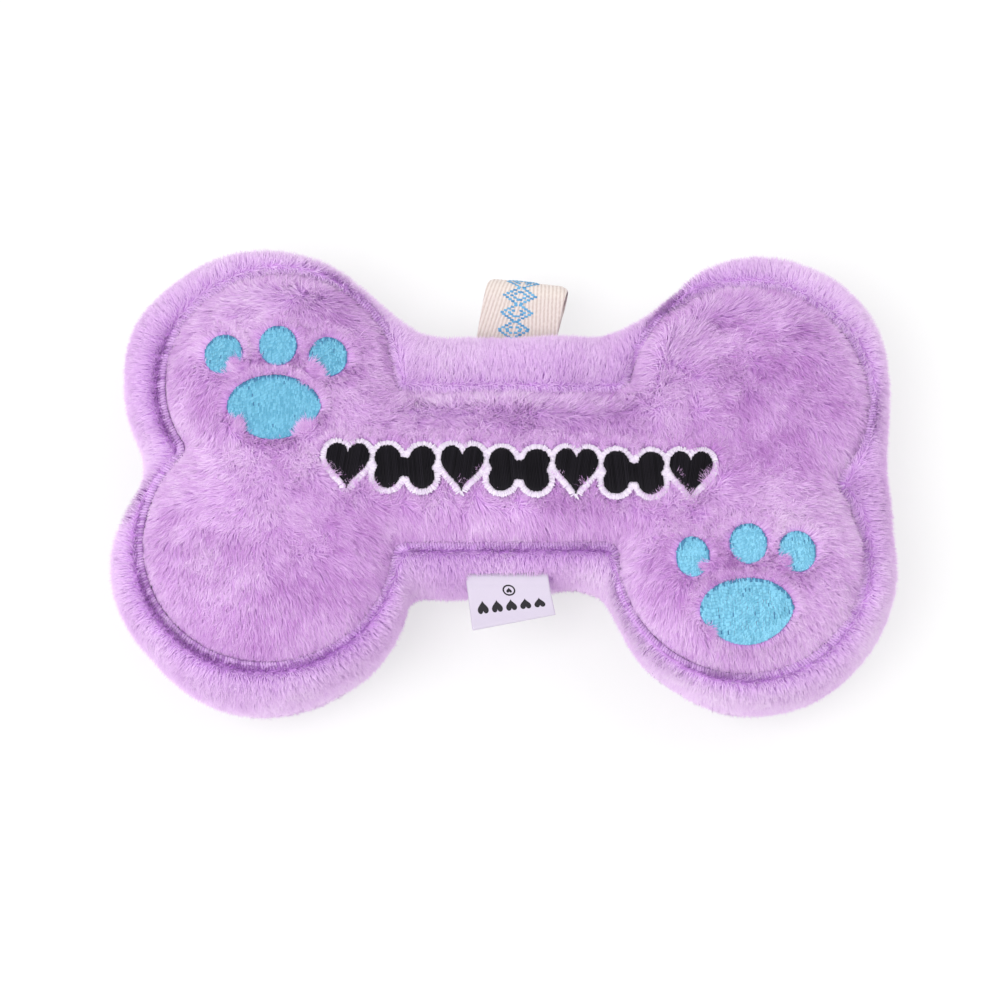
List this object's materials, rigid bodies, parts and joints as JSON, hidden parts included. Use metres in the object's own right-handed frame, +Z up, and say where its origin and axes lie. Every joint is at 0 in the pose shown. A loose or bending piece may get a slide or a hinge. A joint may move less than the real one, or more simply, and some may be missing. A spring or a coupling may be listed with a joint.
{
  "type": "squeaky plush dog toy",
  "caption": "Bone-shaped stuffed plush dog toy with a raised inner bone, embroidered paw prints and small hearts and bones, a tape loop, a folded side label and a squeaker inside.",
  "frame": {"origin": "middle of the toy's length and width, at the resting face of the back panel", "axes": "+X along the bone, towards the lobe with the lower paw print; +Y across it, towards the tape loop; +Z up, out of the embroidered face"},
  "size_m": [0.2106, 0.1306, 0.044],
  "materials": {
    "plush": "long soft lavender pile",
    "back_plush": "long soft lavender pile",
    "inner_plush": "long soft lavender pile",
    "lilac_thread": "satin stitched thread",
    "turquoise_thread": "embroidered thread",
    "black_thread": "embroidered thread",
    "white_thread": "embroidered thread",
    "twill_tape": "woven twill cotton tape",
    "satin_label": "woven satin",
    "fibre_fill": "loose polyester fibre",
    "pouch_cloth": "non-woven cloth",
    "bulb_plastic": "soft blown plastic",
    "reed_plastic": "moulded plastic"
  },
  "bodies": {
    "back": {"back_panel": "back_plush", "perimeter_seam_thread": "lilac_thread", "closing_seam_thread": "lilac_thread", "fibre_fill_back": "fibre_fill", "pouch_back": "pouch_cloth", "pouch_stitch": "lilac_thread", "squeaker_bulb": "bulb_plastic", "reed_holder": "reed_plastic", "reed_seat": "reed_plastic", "reed_clamp": "reed_plastic", "ribbon_loop_tail": "twill_tape", "side_label_tail": "satin_label"},
    "front_face": {"front_panel": "plush", "fibre_fill_front": "fibre_fill", "pouch_front": "pouch_cloth", "inner_bone": "inner_plush", "inner_bone_satin_border": "lilac_thread", "upper_paw_pad": "turquoise_thread", "upper_paw_toe_left": "turquoise_thread", "upper_paw_toe_middle": "turquoise_thread", "upper_paw_toe_right": "turquoise_thread", "lower_paw_pad": "turquoise_thread", "lower_paw_toe_left": "turquoise_thread", "lower_paw_toe_middle": "turquoise_thread", "lower_paw_toe_right": "turquoise_thread", "motif_border": "white_thread", "motif_heart_1": "black_thread", "motif_bone_2": "black_thread", "motif_heart_3": "black_thread", "motif_bone_4": "black_thread", "motif_heart_5": "black_thread", "motif_bone_6": "black_thread", "motif_heart_7": "black_thread"},
    "loop": {"ribbon_loop": "twill_tape"},
    "label": {"side_label": "satin_label"},
    "reed": {"reed_tongue": "reed_plastic"}
  },
  "joints": [
    {"name": "squeeze", "type": "slide", "parent": "back", "child": "front_face", "axis": [0, 0, -1], "range_m": [0, 0.008], "stiffness_N_per_m": 2500, "springref_m": -0.001, "deforming": ["front_panel", "fibre_fill_front", "pouch_front", "squeaker_bulb"]},
    {"name": "loop_swing", "type": "hinge", "parent": "back", "child": "loop", "pos_m": [0.00354, 0.04138, 0.018], "axis": [1, 0, 0], "range_deg": [-60, 60], "stiffness_Nm_per_rad": 0.004},
    {"name": "label_swing", "type": "hinge", "parent": "back", "child": "label", "pos_m": [0.00093, -0.03282, 0.0245], "axis": [1, 0, 0], "range_deg": [-70, 70], "stiffness_Nm_per_rad": 0.002},
    {"name": "reed_flex", "type": "hinge", "parent": "back", "child": "reed", "pos_m": [0.0015, 0.00068, 0.01232], "axis": [1, 0, 0], "range_deg": [-5, 5], "stiffness_Nm_per_rad": 0.0005}
  ]
}
